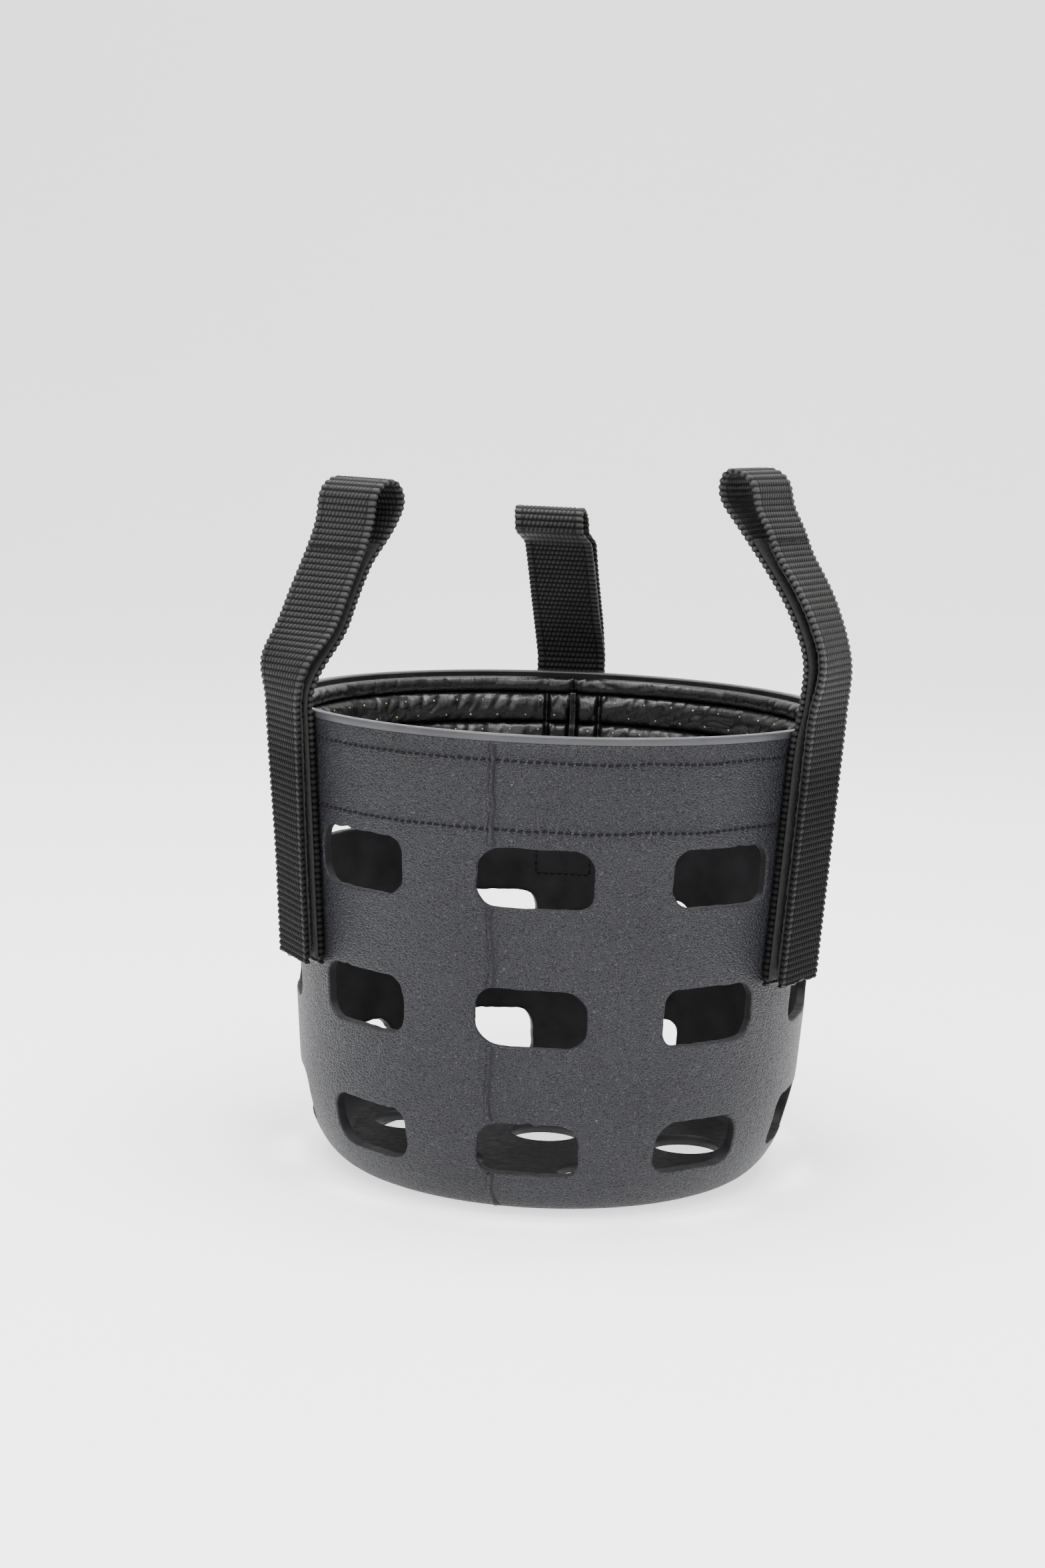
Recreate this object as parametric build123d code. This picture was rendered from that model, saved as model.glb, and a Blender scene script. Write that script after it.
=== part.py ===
"""Grazing feed bucket: a moulded rubber bucket with windows, a quilted rim lining and three
hook-and-loop strap loops.

Millimetres, +Z up. The origin is the middle of the base's underside, on the bucket's axis.
Azimuth is counted from -Y (the front) towards +X, so 90 is the right side and 180 the back.
"""
import math
import os

from build123d import *

# ---- bucket shell
HEIGHT = 190.0
RIM_RADIUS = 113.5
SHOULDER_HEIGHT = 45.0      # where the rounded lower corner meets the straight taper
SHOULDER_RADIUS = 103.0
FOOT_RADIUS = 78.0          # outer edge of the flat ring that the bucket stands on
FOOT_INNER = 76.0
RECESS = 4.5                # height of the floor's underside above the foot ring
WALL = 4.0
FLOOR = 4.5                 # thickness of the floor
FLOOR_TOP = RECESS + FLOOR
RIM_BEVEL = 1.0
TAPER = (RIM_RADIUS - SHOULDER_RADIUS) / (HEIGHT - SHOULDER_HEIGHT)

# ---- windows: (middle height, height, half angle in degrees), nine to a row
WINDOW_ROWS = [(135.3, 23.2, 11.8), (80.9, 22.8, 11.7), (28.4, 21.4, 11.3)]
WINDOWS_PER_ROW = 9
WINDOW_PITCH = 360.0 / WINDOWS_PER_ROW
WINDOW_CORNER = 8.0

# ---- grass holes in the floor: one in the middle and a ring of six round it
HOLE_RADIUS = 14.5
HOLE_RING = 59.0
HOLES_IN_RING = 6
FIRST_HOLE = 23.0           # azimuth of the first hole of the ring

# ---- rim lining: three padded ribs, (bottom, top, depth from the wall)
ROLL = (181.0, 187.8, 5.3)
UPPER_RIB = (168.0, 181.0, 7.2)
LOWER_RIB = (155.0, 168.0, 7.2)
LINING_LIP = 152.5          # lower edge of the cover, below its last stitch row
VALLEY_DEPTH = 2.0          # cover thickness where it is stitched down between ribs
COVER = 1.1                 # thickness of the cover
JOINT_AZIMUTH = 181.0       # where the lining's two ends meet
PIPING_ANGLE = 1.7          # the upright binding strip at the lining's joint, about 3 mm wide
PIPING_DEPTH = 8.4
STITCH_ROWS = {"rim_stitch_upper": 180.0, "rim_stitch_lower": 153.6}
STITCH_HEIGHT = 0.9
STITCH_DEPTH = 0.5

# ---- straps
WEB_WIDTH = 30.0
WEB = 2.4                   # webbing thickness
HOOK_TAPE = 1.1
LOOP_TAPE = 1.3
TAPE_WIDTH = 28.0
STRAP_FOOT = 90.0           # height of both cut ends
RIM_HINGE = 196.0           # height at which a strap bends over the rim
CLEAR_OF_WALL = 0.05
HINGE_GAP = 0.6             # webbing left out on each side of the rim hinge
TAPE_HINGE_GAP = 1.6
PEEL_GAP_ABOVE = 0.5
PEEL_GAP_BELOW = 3.0
SEAM_STEP = 1.0             # the tape's end beyond the peel hinge
BOX_STITCH_WIDTH = 24.0
BOX_STITCH_BOTTOM = 100.0
BOX_STITCH_TOP = 150.0
THREAD = 0.9
OFFSET_STEP = 2.0           # spacing of the points that carry a strip's offset faces
LEAD_IN = (20.0, 10.0)      # straight webbing below the rim hinge that steers the curve above it

# Each strap's inner leg above the rim hinge, as (radius, height, distance to the outer leg).
# The peel hinge is on the outer leg, opposite the point numbered "peel".
STRAPS = {
    "left": {
        "azimuth": -60.0,
        "gap": 6.0,
        "peel": 4,
        "inner": [(113.4, 205, 7.4), (107.0, 217, 7.0), (101.3, 231, 6.6), (95.7, 244, 6.7),
                  (91.2, 253.5, 7.4), (87.2, 262, 9.4), (83.6, 270.5, 11.4)],
    },
    "right": {
        "azimuth": 61.5,
        "gap": 6.8,
        "peel": 5,
        "inner": [(116.3, 205, 7.3), (117.6, 215, 7.3), (115.0, 227, 7.0), (109.0, 240, 7.0),
                  (101.2, 252, 7.0), (94.2, 261.5, 7.8), (87.2, 270.5, 9.4), (81.8, 280, 11.4)],
    },
    "back": {
        "azimuth": 182.0,
        "gap": 6.0,
        "peel": 4,
        "inner": [(113.0, 205, 7.2), (107.6, 214.5, 6.8), (101.2, 224, 6.5), (95.2, 233, 6.6),
                  (90.4, 240.5, 7.4), (85.6, 248, 9.4), (81.0, 255.5, 11.4)],
    },
}


def outer_radius(height):
    """Radius of the tapered outer wall at a height above the shoulder."""
    return RIM_RADIUS - (HEIGHT - height) * TAPER


def inner_radius(height):
    return outer_radius(height) - WALL


def turned(shape, azimuth):
    """A shape built along +X, turned to stand at an azimuth."""
    return Rot(0, 0, azimuth - 90) * shape


def revolved(*edges):
    """The ring swept by a closed outline drawn in radius (X) and height (Z)."""
    return revolve(make_face(list(edges)), Axis.Z)


def ring(bottom, top, depth_in, depth_out):
    """A thin ring that follows the wall between two depths below its outer face."""
    corners = [
        (outer_radius(bottom) - depth_out, 0, bottom),
        (outer_radius(bottom) - depth_in, 0, bottom),
        (outer_radius(top) - depth_in, 0, top),
        (outer_radius(top) - depth_out, 0, top),
    ]
    return revolved(Polyline(*corners, close=True))


# ---- moulded bucket
def blank_shell():
    outer_corner = Bezier((FOOT_RADIUS, 0, 0), (FOOT_RADIUS + 15, 0, 0),
                          (SHOULDER_RADIUS - 2.1, 0, 22), (SHOULDER_RADIUS, 0, SHOULDER_HEIGHT))
    inner_shoulder = SHOULDER_RADIUS - WALL
    inner_corner = Bezier((inner_shoulder, 0, SHOULDER_HEIGHT), (inner_shoulder - 2.1, 0, 26),
                          (FOOT_RADIUS + 12, 0, FLOOR_TOP), (FOOT_RADIUS + 2, 0, FLOOR_TOP))
    wall = Polyline((SHOULDER_RADIUS, 0, SHOULDER_HEIGHT),
                    (outer_radius(HEIGHT - RIM_BEVEL), 0, HEIGHT - RIM_BEVEL),
                    (RIM_RADIUS - RIM_BEVEL, 0, HEIGHT),
                    (inner_radius(HEIGHT), 0, HEIGHT),
                    (inner_shoulder, 0, SHOULDER_HEIGHT))
    floor = Polyline((FOOT_RADIUS + 2, 0, FLOOR_TOP), (0, 0, FLOOR_TOP), (0, 0, RECESS),
                     (FOOT_INNER - 1, 0, RECESS), (FOOT_INNER, 0, 0), (FOOT_RADIUS, 0, 0))
    return revolved(outer_corner, wall, inner_corner, floor)


def window(middle, height, half_angle, azimuth):
    mid_radius = outer_radius(middle)
    width = 2 * mid_radius * math.sin(math.radians(half_angle))
    outline = Plane.YZ * RectangleRounded(width, height, WINDOW_CORNER)
    return turned(Pos(mid_radius / 2, 0, middle) * extrude(outline, mid_radius), azimuth)


def floor_hole(azimuth, distance):
    return turned(Pos(distance, 0, 0) * Cylinder(HOLE_RADIUS, 4 * FLOOR_TOP), azimuth)


def bucket_shell():
    shell = blank_shell()
    for middle, height, half_angle in WINDOW_ROWS:
        for k in range(WINDOWS_PER_ROW):
            shell -= window(middle, height, half_angle, k * WINDOW_PITCH)
    shell -= floor_hole(0, 0)
    for k in range(HOLES_IN_RING):
        shell -= floor_hole(FIRST_HOLE + k * 360 / HOLES_IN_RING, HOLE_RING)
    for height in STITCH_ROWS.values():
        shell -= stitch_ring(height)
    return shell


def stitch_ring(height):
    """A row of thread, pulled into the rubber until it is flush."""
    return ring(height - STITCH_HEIGHT / 2, height + STITCH_HEIGHT / 2, 0, STITCH_DEPTH)


# ---- rim lining
def bulge(bottom, top, depth, inset):
    """The inward curve of one padded rib, inset from the cover's face."""
    low, high = bottom + inset, top - inset
    middle = (low + high) / 2
    edge = VALLEY_DEPTH - (0 if inset == 0 else inset / 2)
    return ThreePointArc((inner_radius(low) - edge, 0, low),
                         (inner_radius(middle) - depth + inset, 0, middle),
                         (inner_radius(high) - edge, 0, high))


def rib_core_outline(rib):
    curve = bulge(*rib, COVER)
    back_low = (inner_radius(rib[0] + COVER) - COVER, 0, rib[0] + COVER)
    back_high = (inner_radius(rib[1] - COVER) - COVER, 0, rib[1] - COVER)
    return make_face([curve, Polyline(curve @ 1, back_high, back_low, curve @ 0)])


def cover_outline():
    lower, upper, roll = (bulge(*rib, 0) for rib in (LOWER_RIB, UPPER_RIB, ROLL))
    top, foot = ROLL[1], LINING_LIP
    back = Polyline(roll @ 1, (inner_radius(top), 0, top), (inner_radius(foot), 0, foot),
                    (inner_radius(foot) - VALLEY_DEPTH / 2, 0, foot), lower @ 0)
    return make_face([lower, upper, roll, back])


def piping_outline():
    """The strip that binds the lining's two ends, at the back."""
    low, high = LINING_LIP, ROLL[1]
    return make_face(Polyline((inner_radius(low), 0, low), (inner_radius(high), 0, high),
                              (inner_radius(high) - PIPING_DEPTH, 0, high),
                              (inner_radius(low) - PIPING_DEPTH, 0, low), close=True))


def lining_nodes():
    """The cover, its foam strips and the binding strip that closes the ring at the back."""
    cores = {"foam_roll": rib_core_outline(ROLL),
             "foam_strip_upper": rib_core_outline(UPPER_RIB),
             "foam_strip_lower": rib_core_outline(LOWER_RIB)}
    cover = cover_outline()
    for core in cores.values():
        cover -= core
    nodes = {"lining_cover": cover, **cores}
    around = {name: revolve(face, Axis.Z, 360 - PIPING_ANGLE) for name, face in nodes.items()}
    placed = {name: turned(shape, JOINT_AZIMUTH + PIPING_ANGLE / 2) for name, shape in around.items()}
    piping = revolve(piping_outline(), Axis.Z, PIPING_ANGLE)
    return {**placed, "lining_piping": turned(piping, JOINT_AZIMUTH - PIPING_ANGLE / 2)}


# ---- straps, built in the X-Z plane with the bucket's axis at X = 0
def leg_start(offset):
    """A leg's centre line at the foot and at the rim hinge, this far out from the wall."""
    return [Vector(outer_radius(z) + offset, 0, z) for z in (STRAP_FOOT, RIM_HINGE)]


def right_side(tangent):
    """The side of a strap's path on which its tapes lie."""
    return Vector(tangent.Z, 0, -tangent.X)


def beside(path, offset):
    """The curve that runs at a distance from a strap's path, on its tape side."""
    count = max(2, round(path.length / OFFSET_STEP))
    points = []
    for k in range(count + 1):
        tangent = path % (k / count)
        points.append(path @ (k / count) + right_side(tangent) * offset)
    return Spline(*points, tangents=[path % 0, path % 1])


def strip(path, thickness, width, offset=0.0):
    """A flat strip along a path, offset towards the tape side."""
    near = beside(path, offset - thickness / 2)
    far = beside(path, offset + thickness / 2)
    outline = make_face([near, Line(near @ 1, far @ 1), far, Line(far @ 0, near @ 0)])
    return extrude(outline, width / 2, dir=(0, 1, 0), both=True)


def cut_path(path, start, end):
    """The stretch of a path between two lengths along it; a negative end counts from its far end."""
    far = path.length + end if end <= 0 else end
    return path.trim(start / path.length, far / path.length)


def strap_paths(strap):
    """Sewn leg, loop over the fold, hanging flap and the flap's end, as paths."""
    near = WEB / 2 + CLEAR_OF_WALL
    inner_foot, inner_rim = leg_start(near)
    outer_foot, outer_rim = leg_start(near + strap["gap"])
    up = (inner_rim - inner_foot).normalized()
    inner = [Vector(r, 0, z) for r, z, gap in strap["inner"]]
    ends = [inner_rim] + inner
    outer = []
    for i, (r, z, gap) in enumerate(strap["inner"]):
        ahead = inner[i + 1] if i + 1 < len(inner) else inner[i] * 2 - inner[i - 1]
        outer.append(inner[i] + right_side((ahead - ends[i]).normalized()) * gap)
    fold = strap["inner"][-1][2] / 2
    crown_way = (outer[-1] - inner[-1]).normalized()
    crown = (inner[-1] + outer[-1]) / 2 + Vector(-crown_way.Z, 0, crown_way.X) * fold
    run_in = [inner_rim - up * step for step in LEAD_IN]
    run_out = [outer_rim - up * step for step in reversed(LEAD_IN)]
    whole = Spline(*run_in, inner_rim, *inner, crown, *reversed(outer), outer_rim, *run_out)
    rim_in, peel, rim_out = (whole.param_at_point(point)
                             for point in (inner_rim, outer[strap["peel"]], outer_rim))
    over = whole.trim(rim_in, peel)
    down = whole.trim(peel, rim_out)
    return Line(inner_foot, inner_rim), over, down, Line(outer_rim, outer_foot)


def strap_nodes(name, strap):
    sewn, over, down, end = strap_paths(strap)
    hook_side = (WEB + HOOK_TAPE) / 2
    loop_side = (WEB + LOOP_TAPE) / 2
    hook_top = hook_reach(over, down)
    legs = {
        "webbing_sewn": strip(cut_path(sewn, 0, -HINGE_GAP), WEB, WEB_WIDTH),
        "webbing_loop": strip(cut_path(over, HINGE_GAP, -PEEL_GAP_ABOVE), WEB, WEB_WIDTH),
        "webbing_flap": strip(cut_path(down, PEEL_GAP_BELOW, -HINGE_GAP), WEB, WEB_WIDTH),
        "webbing_end": strip(cut_path(end, HINGE_GAP, 0), WEB, WEB_WIDTH),
        "hook_tape_lower": strip(cut_path(sewn, 2, -TAPE_HINGE_GAP), HOOK_TAPE, TAPE_WIDTH, hook_side),
        "hook_tape_upper": strip(cut_path(over, TAPE_HINGE_GAP, hook_top), HOOK_TAPE, TAPE_WIDTH,
                                 hook_side),
        "loop_tape_upper": strip(cut_path(down, PEEL_GAP_BELOW + SEAM_STEP, -TAPE_HINGE_GAP),
                                 LOOP_TAPE, TAPE_WIDTH, loop_side),
        "loop_tape_lower": strip(cut_path(end, TAPE_HINGE_GAP, -2), LOOP_TAPE, TAPE_WIDTH, loop_side),
        "box_stitch": box_stitch(),
        "tape_stitch": tape_stitch(down),
    }
    return {f"{name}_{node}": turned(shape, strap["azimuth"]) for node, shape in legs.items()}


def hook_reach(over, down):
    """Length along the loop at which the hook tape ends: level with the peel hinge."""
    hinge = down @ 0
    step, best, reach = 0.5, math.inf, 0.0
    for k in range(int(over.length / step / 2)):
        gap = (over @ (k * step / over.length) - hinge).length
        if gap < best:
            best, reach = gap, k * step
    return reach


def tape_stitch(down):
    """The row of thread across the flap that holds the loop tape's upper end."""
    row = cut_path(down, PEEL_GAP_BELOW + 2, PEEL_GAP_BELOW + 2 + THREAD)
    return strip(row, 0.5, TAPE_WIDTH - 4, -(WEB + 0.5) / 2)


def box_stitch():
    """The rectangle of thread that shows on the bucket's inner face."""
    skin = ring(BOX_STITCH_BOTTOM, BOX_STITCH_TOP, WALL, WALL + STITCH_DEPTH)
    tall = BOX_STITCH_TOP - BOX_STITCH_BOTTOM
    place = Pos(outer_radius(BOX_STITCH_TOP), 0, (BOX_STITCH_TOP + BOX_STITCH_BOTTOM) / 2)
    frame = Box(30, BOX_STITCH_WIDTH, tall)
    frame -= Box(31, BOX_STITCH_WIDTH - 2 * THREAD, tall - 2 * THREAD)
    return skin & (place * frame)


def all_nodes():
    nodes = {"bucket_shell": bucket_shell()}
    for name, height in STITCH_ROWS.items():
        nodes[name] = stitch_ring(height)
    nodes.update(lining_nodes())
    for name, strap in STRAPS.items():
        nodes.update(strap_nodes(name, strap))
    return nodes


def report_hinges():
    """Prints each strap's hinge points and hinge axis for the motion record."""
    for name, strap in STRAPS.items():
        sewn, over, down, end = strap_paths(strap)
        angle = math.radians(strap["azimuth"])
        for hinge, point in (("rim", sewn @ 1), ("peel", down @ 0), ("end", end @ 0)):
            x, y = point.X * math.sin(angle), -point.X * math.cos(angle)
            print(name, hinge, round(x, 3), round(y, 3), round(point.Z, 3))


if __name__ == "__main__":
    os.makedirs("parts", exist_ok=True)
    for node, shape in all_nodes().items():
        export_step(shape, f"parts/{node}.step")
    report_hinges()
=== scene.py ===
"""The looks of the grazing feed bucket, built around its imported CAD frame.

Metres, +Z up, the origin at the middle of the base's underside. Azimuth is counted from -Y
(the front) towards +X, as in the CAD. Sizes that the CAD also has are the same here, except
where a comment says otherwise.
"""
import math

import bmesh
import bpy
import numpy as np
from mathutils import Matrix, Vector


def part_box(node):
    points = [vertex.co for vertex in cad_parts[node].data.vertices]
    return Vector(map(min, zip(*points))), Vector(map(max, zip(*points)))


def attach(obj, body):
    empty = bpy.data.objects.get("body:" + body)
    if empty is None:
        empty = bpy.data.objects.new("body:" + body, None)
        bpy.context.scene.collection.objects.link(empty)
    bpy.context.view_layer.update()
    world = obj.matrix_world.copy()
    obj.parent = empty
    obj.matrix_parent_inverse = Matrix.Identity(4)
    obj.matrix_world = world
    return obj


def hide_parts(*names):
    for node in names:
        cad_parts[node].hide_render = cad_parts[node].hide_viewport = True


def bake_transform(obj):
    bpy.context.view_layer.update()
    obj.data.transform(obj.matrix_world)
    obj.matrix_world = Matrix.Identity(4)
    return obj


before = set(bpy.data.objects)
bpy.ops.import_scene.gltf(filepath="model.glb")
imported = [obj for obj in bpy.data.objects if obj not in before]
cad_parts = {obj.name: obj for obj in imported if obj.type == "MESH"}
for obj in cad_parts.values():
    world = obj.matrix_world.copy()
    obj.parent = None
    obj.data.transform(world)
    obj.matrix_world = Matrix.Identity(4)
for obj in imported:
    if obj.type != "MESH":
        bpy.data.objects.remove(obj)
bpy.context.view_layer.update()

MM = 0.001
rng = np.random.default_rng(41)

# ---- bucket shell
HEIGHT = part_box("bucket_shell")[1].z
RIM_RADIUS = 113.5 * MM
SHOULDER_HEIGHT = 45 * MM
SHOULDER_RADIUS = 103 * MM
FOOT_RADIUS = 78 * MM
FOOT_INNER = 76 * MM
RECESS = 4.5 * MM            # the floor's underside above the foot ring
FLOOR_TOP = 9 * MM
WALL = 4 * MM
TAPER = (RIM_RADIUS - SHOULDER_RADIUS) / (HEIGHT - SHOULDER_HEIGHT)
WINDOW_ROWS = [(135.3 * MM, 23.2 * MM, 11.8), (80.9 * MM, 22.8 * MM, 11.7), (28.4 * MM, 21.4 * MM, 11.3)]
CELL_EDGES = [162.5 * MM, 108.1 * MM, 54.7 * MM, 12.6 * MM]    # heights between the window rows
WINDOWS_PER_ROW = 9
WINDOW_CORNERS = (5.5 * MM, 9.5 * MM)
CELL_TOP_POINTS = 32         # mesh points along a window cell's top, and along its side
CELL_SIDE_POINTS = 18
CELL_RINGS = [0, 0.03, 0.1, 0.24, 0.45, 0.7, 1]
ARC_POINTS = 25              # points on each arc of a window's outline
EDGE_ROUND = 0.35 * MM
KNIFE_STRAY = (0.19 * MM, 0.08 * MM)    # how ragged the windows' cut is, outside and then inside
CUT_ROUGHNESS = 0.05 * MM
HOLE_RADIUS = 14.5 * MM
FLOOR_HOLES = [(0, 0.0)] + [(23 + 60 * k, 59 * MM) for k in range(6)]
HOLE_POINTS = 72
WELD = 0.02 * MM             # the shell's patches are joined where their points are this close
FLAT_EDGE = 0.35 * MM        # flat strip round each hole, so the floor shades as flat
RIM_BAND = 2.6 * MM          # the smooth band below the rim's top edge
RIM_ROUND = 0.7 * MM         # the rim's top edges are rounded over this height
PARTING_AZIMUTHS = (-8.7, 171.3)

# ---- rim lining
PIPING_ANGLE = 1.7
JOINT_AZIMUTH = 181.0
VALLEY_DEPTH = 2.0 * MM
LINING_LIP = 152.5 * MM
RIBS = {"lower": (155 * MM, 168 * MM, 7.2 * MM), "upper": (168 * MM, 181 * MM, 7.2 * MM),
        "roll": (181 * MM, 187.8 * MM, 5.3 * MM)}
PANEL_SEAM = 10.4 * MM       # upright seams on each side of the lining's joint
DOT_PITCH = 13.4 * MM
DOT_RADIUS = 0.42 * MM
COVER = 1.3 * MM             # how far the foam stays under the cover's face; 1.1 mm in the CAD
STITCH_ROWS = {"upper": 180.0 * MM, "lower": 153.6 * MM}
STITCH_PITCH = 3 * MM
THREAD_THICK = 0.95 * MM
SEAM_REACH = 14 * MM         # the lining's mesh is finer this far from its joint

# ---- straps
WEB_WIDTH = 30 * MM
WEB = 2.4 * MM
HOOK_TAPE = 1.1 * MM
LOOP_TAPE = 1.3 * MM
TAPE_WIDTH = 28 * MM
STRAP_FOOT = 90 * MM
RIM_HINGE = 196 * MM
CLEAR_OF_WALL = 0.05 * MM
# Painted shade: the webbing's colour and gloss darken from PALE_ABOVE down to DARK_BELOW.
DARK_BELOW = 170 * MM        # the webbing's tone changes between these heights
PALE_ABOVE = 215 * MM
RIB_PITCH = 2.5 * MM         # weft ribs along the webbing
GRAIN_PITCH = 1.9 * MM       # warp bumps across it, half a pitch over in every other rib
STEPS_PER_RIB = 6
STEP = RIB_PITCH / STEPS_PER_RIB
SELVEDGE = 3.4 * MM
WEAVE_DEPTH = 0.75 * MM      # from a yarn's crest down to the hollow beside it
BEND_REACH = 7 * MM          # webbing bends this far each side of a hinge
PEEL_ABOVE = 9 * MM
PEEL_BELOW = 4 * MM
TWIST_RISE = 34 * MM         # a strap takes up its low twist over this height above the rim
TOP_TWIST_FROM = 215 * MM    # and goes over to its top twist from here to below its fold
FLARE_FROM = 120 * MM        # the hanging flap starts to flare at this height
AWAY_UNTIL = (200 * MM, 245 * MM)    # the outer leg comes back to its place between these heights
PRESS_HEIGHT = 200 * MM      # where the inner leg may be pressed in, and how far up and down
PRESS_REACH = 11 * MM
FOLD_HEIGHT = 16 * MM        # the fold's own height, below the strap's top
PUFF_HEIGHT = 34 * MM
CROWN_STEPS = 30.0           # the inner leg's puff turns into the outer one's within these steps
BOX_STITCH_WIDTH = 24 * MM
BOX_STITCH_BOTTOM = 100 * MM
BOX_STITCH_TOP = 150 * MM

# Each strap's inner leg above the rim hinge, in millimetres: (radius, height, distance to the outer leg).
STRAPS = {
    "left": {
        "azimuth": -60.0, "gap": 6.0, "peel": 4, "lean": -6.5 * MM, "twist": (28.0, 26.0), "flare": 4.0,
        "away": 0.4 * MM, "puff": (3.5 * MM, 0.0), "roll": 0.0, "press": 0.0,
        "inner": [(113.4, 205, 7.4), (107.0, 217, 7.0), (101.3, 231, 6.6), (95.7, 244, 6.7),
                  (91.2, 253.5, 7.4), (87.2, 262, 9.4), (83.6, 270.5, 11.4)],
    },
    "right": {
        "azimuth": 61.5, "gap": 6.8, "peel": 5, "lean": -7.0 * MM, "twist": (7.0, 0.0), "flare": 0.0,
        "away": 0.0, "puff": (0.0, 2.5 * MM), "roll": 0.0, "press": 1.7 * MM,
        "inner": [(116.3, 205, 7.3), (117.6, 215, 7.3), (115.0, 227, 7.0), (109.0, 240, 7.0),
                  (101.2, 252, 7.0), (94.2, 261.5, 7.8), (87.2, 270.5, 9.4), (81.8, 280, 11.4)],
    },
    "back": {
        "azimuth": 182.0, "gap": 6.0, "peel": 4, "lean": 7.4 * MM, "twist": (-9.0, -11.0), "flare": 0.0,
        "away": 0.0, "puff": (0.0, 0.0), "roll": 8.0 * MM, "press": 0.0,
        "inner": [(113.0, 205, 7.2), (107.6, 214.5, 6.8), (101.2, 224, 6.5), (95.2, 233, 6.6),
                  (90.4, 240.5, 7.4), (85.6, 248, 9.4), (81.0, 255.5, 11.4)],
    },
}


# ---------------------------------------------------------------- small helpers
def placed(radius, azimuth_degrees, height, across=0.0):
    """Points at a radius and azimuth, moved sideways along the tangent."""
    angle = np.radians(azimuth_degrees)
    x = radius * np.sin(angle) + across * np.cos(angle)
    y = -radius * np.cos(angle) + across * np.sin(angle)
    x, y, height = np.broadcast_arrays(x, y, height)
    return np.stack([x, y, height], axis=-1)


def grid_faces(rows, columns, closed=False):
    """Quads of a grid of points stored row after row."""
    wide = columns if closed else columns - 1
    i, j = np.meshgrid(np.arange(rows - 1), np.arange(wide), indexing="ij")
    ahead = (j + 1) % columns
    quads = [i * columns + j, i * columns + ahead, (i + 1) * columns + ahead, (i + 1) * columns + j]
    return np.stack(quads, axis=-1).reshape(-1, 4)


def make_piece(name, points, faces, materials, face_slots=None, flow=None):
    """A smooth mesh object. flow is a coordinate along and across the cloth, for its material."""
    mesh = bpy.data.meshes.new(name)
    mesh.from_pydata(np.asarray(points, float).reshape(-1, 3).tolist(), [], [list(map(int, f)) for f in faces])
    for material in materials:
        mesh.materials.append(material)
    mesh.polygons.foreach_set("use_smooth", [True] * len(mesh.polygons))
    if face_slots is not None:
        mesh.polygons.foreach_set("material_index", [int(slot) for slot in face_slots])
    if flow is not None:
        attribute = mesh.attributes.new("flow", "FLOAT_VECTOR", "POINT")
        attribute.data.foreach_set("vector", np.asarray(flow, np.float32).ravel())
    tidy_normals(mesh)
    piece = bpy.data.objects.new(name, mesh)
    bpy.context.scene.collection.objects.link(piece)
    return piece


def tube_faces(rings, sides, start=0):
    """Faces of a closed tube whose rings of points are stored one after another."""
    faces = (grid_faces(rings, sides, closed=True) + start).tolist()
    faces.append([start + k for k in range(sides)])
    faces.append([start + (rings - 1) * sides + k for k in reversed(range(sides))])
    return faces


def tidy_normals(mesh, merged=0.0):
    """Normals that face outward, after welding the points that are closer than merged."""
    work = bmesh.new()
    work.from_mesh(mesh)
    if merged:
        bmesh.ops.remove_doubles(work, verts=work.verts, dist=merged)
    bmesh.ops.recalc_face_normals(work, faces=work.faces)
    work.to_mesh(mesh)
    work.free()


def finish_piece(piece, body, slot, *replaced):
    if replaced:
        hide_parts(*replaced)
    if body:
        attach(piece, body)
    return piece


def finish_bending(piece, slot, replaced):
    """A piece that spans the hinge between two bodies: hides the CAD parts it replaces and bakes its transform into
    its mesh.
    """
    finish_piece(piece, None, slot, *replaced)
    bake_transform(piece)


def lattice_noise(x, y, seed):
    """Smooth noise from -1 to 1 over a plane, one random value per unit cell."""
    table = np.random.default_rng(seed).uniform(-1, 1, (256, 256))
    cell_x, cell_y = np.floor(x).astype(int), np.floor(y).astype(int)
    part_x, part_y = x - cell_x, y - cell_y
    part_x = part_x * part_x * (3 - 2 * part_x)
    part_y = part_y * part_y * (3 - 2 * part_y)

    def corner(dx, dy):
        return table[(cell_x + dx) % 256, (cell_y + dy) % 256]

    low = corner(0, 0) * (1 - part_x) + corner(1, 0) * part_x
    high = corner(0, 1) * (1 - part_x) + corner(1, 1) * part_x
    return low * (1 - part_y) + high * part_y


def peak(distance, width):
    """1 at distance 0, falling smoothly to nothing past the width."""
    return np.exp(-(distance / width) ** 2)


def wavering(x, length, seed):
    """Smooth noise from -1 to 1 along a line, with about this length to a wave."""
    return lattice_noise(x / length, x * 0, seed)


def layered_noise(x, y, seed, layers=3):
    total = np.zeros(np.broadcast(x, y).shape)
    for k in range(layers):
        total = total + lattice_noise(x * 2 ** k, y * 2 ** k, seed + k) / 2 ** k
    return total


def bezier(points, count):
    t = np.linspace(0, 1, count)[:, None]
    a, b, c, d = (np.array(p) for p in points)
    return (1 - t) ** 3 * a + 3 * (1 - t) ** 2 * t * b + 3 * (1 - t) * t ** 2 * c + t ** 3 * d


# ---------------------------------------------------------------- materials
def node(tree, kind, settings=None, **inputs):
    """A shader node; each input is a value or another node's socket."""
    made = tree.nodes.new("ShaderNode" + kind)
    for key, value in (settings or {}).items():
        setattr(made, key, value)
    for key, value in inputs.items():
        socket = made.inputs[key.replace("_", " ")]
        if isinstance(value, bpy.types.NodeSocket):
            tree.links.new(value, socket)
        else:
            socket.default_value = value
    return made


def grey(level, blue=0.0, red=0.0):
    return (level + red, level, level + blue, 1)


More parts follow.
